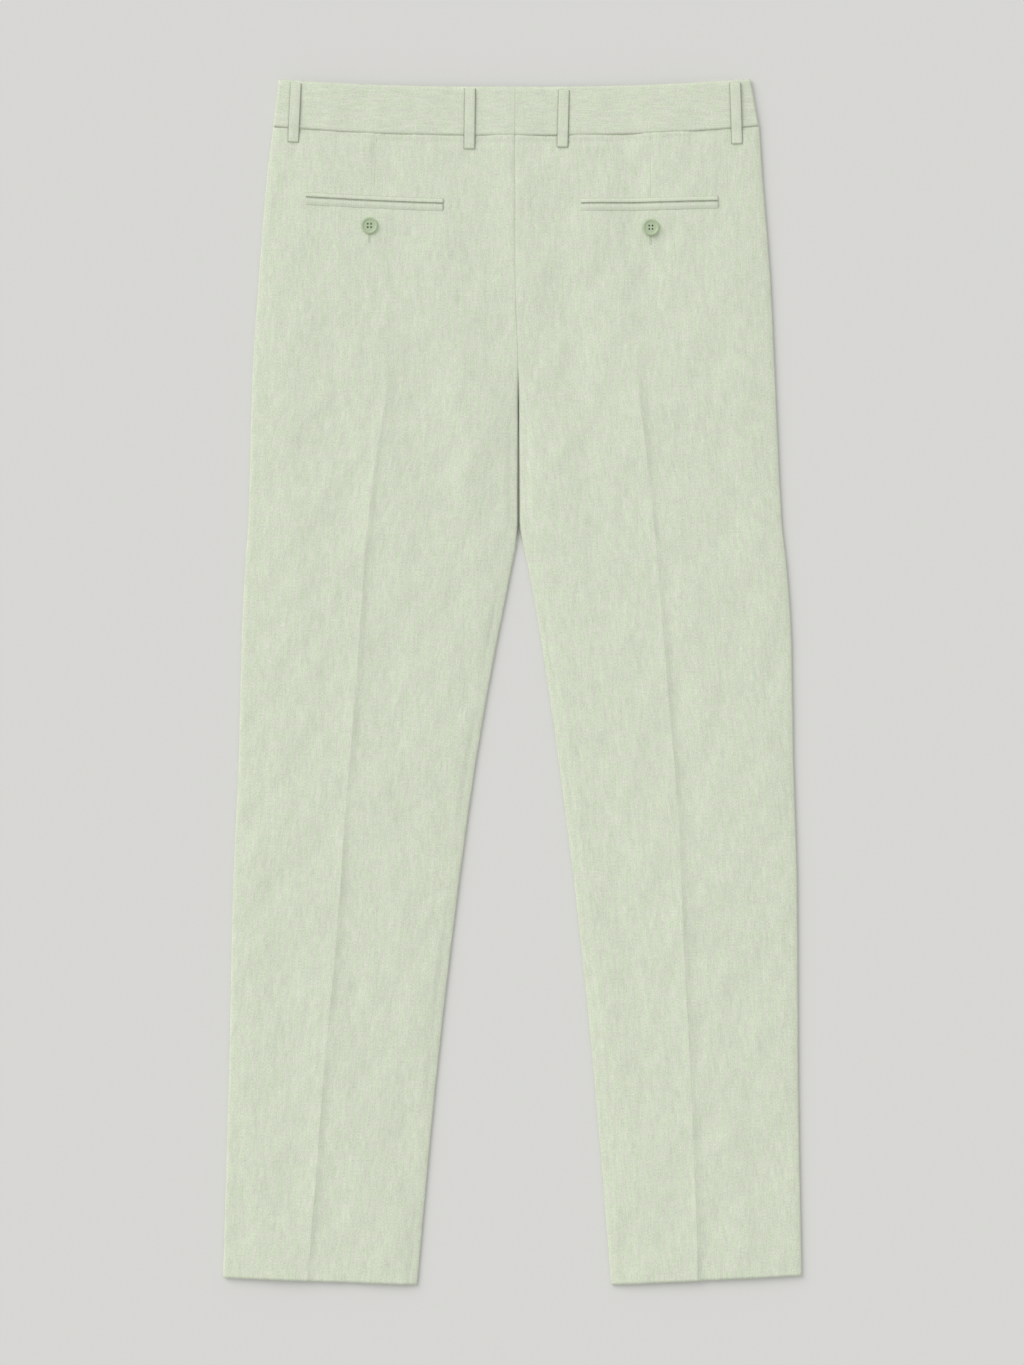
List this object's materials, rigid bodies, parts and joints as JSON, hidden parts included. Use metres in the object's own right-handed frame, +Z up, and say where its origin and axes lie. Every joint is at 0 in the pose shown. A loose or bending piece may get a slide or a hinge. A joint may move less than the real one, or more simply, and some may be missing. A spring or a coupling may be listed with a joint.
{
  "type": "linen dress trousers",
  "caption": "Slim dress trousers in pale linen, laid flat on their front: waistband with belt loops, buttoned jetted hip pockets, pressed creases and tapered legs.",
  "frame": {"origin": "centre of the footprint, on the surface that the trousers lie on", "axes": "+Y towards the waist, +X towards the wearer's right, +Z up, out of the back of the trousers"},
  "size_m": [0.52, 1.0841, 0.0097],
  "materials": {
    "linen": "plain-weave linen, pale sage melange with slubs along the grain, matte",
    "button": "satin sage-green resin, raised rim, four holes",
    "zip": "woven tape and moulded coil, matched to the cloth"
  },
  "bodies": {
    "root": {"back_left": "linen", "back_right": "linen", "front_left": "linen", "front_right": "linen", "waistband_left": "linen", "waistband_right": "linen", "belt_loop_side_left": "linen", "belt_loop_back_left": "linen", "belt_loop_back_right": "linen", "belt_loop_side_right": "linen", "belt_loop_front_left": "linen", "belt_loop_front_right": "linen", "hip_pocket_left_upper_jet": "linen", "hip_pocket_left_lower_jet": "linen", "hip_pocket_right_upper_jet": "linen", "hip_pocket_right_lower_jet": "linen", "hip_button_left": "button", "hip_button_right": "button", "fly_zip": "zip", "fly_shield": "linen"}
  },
  "joints": []
}
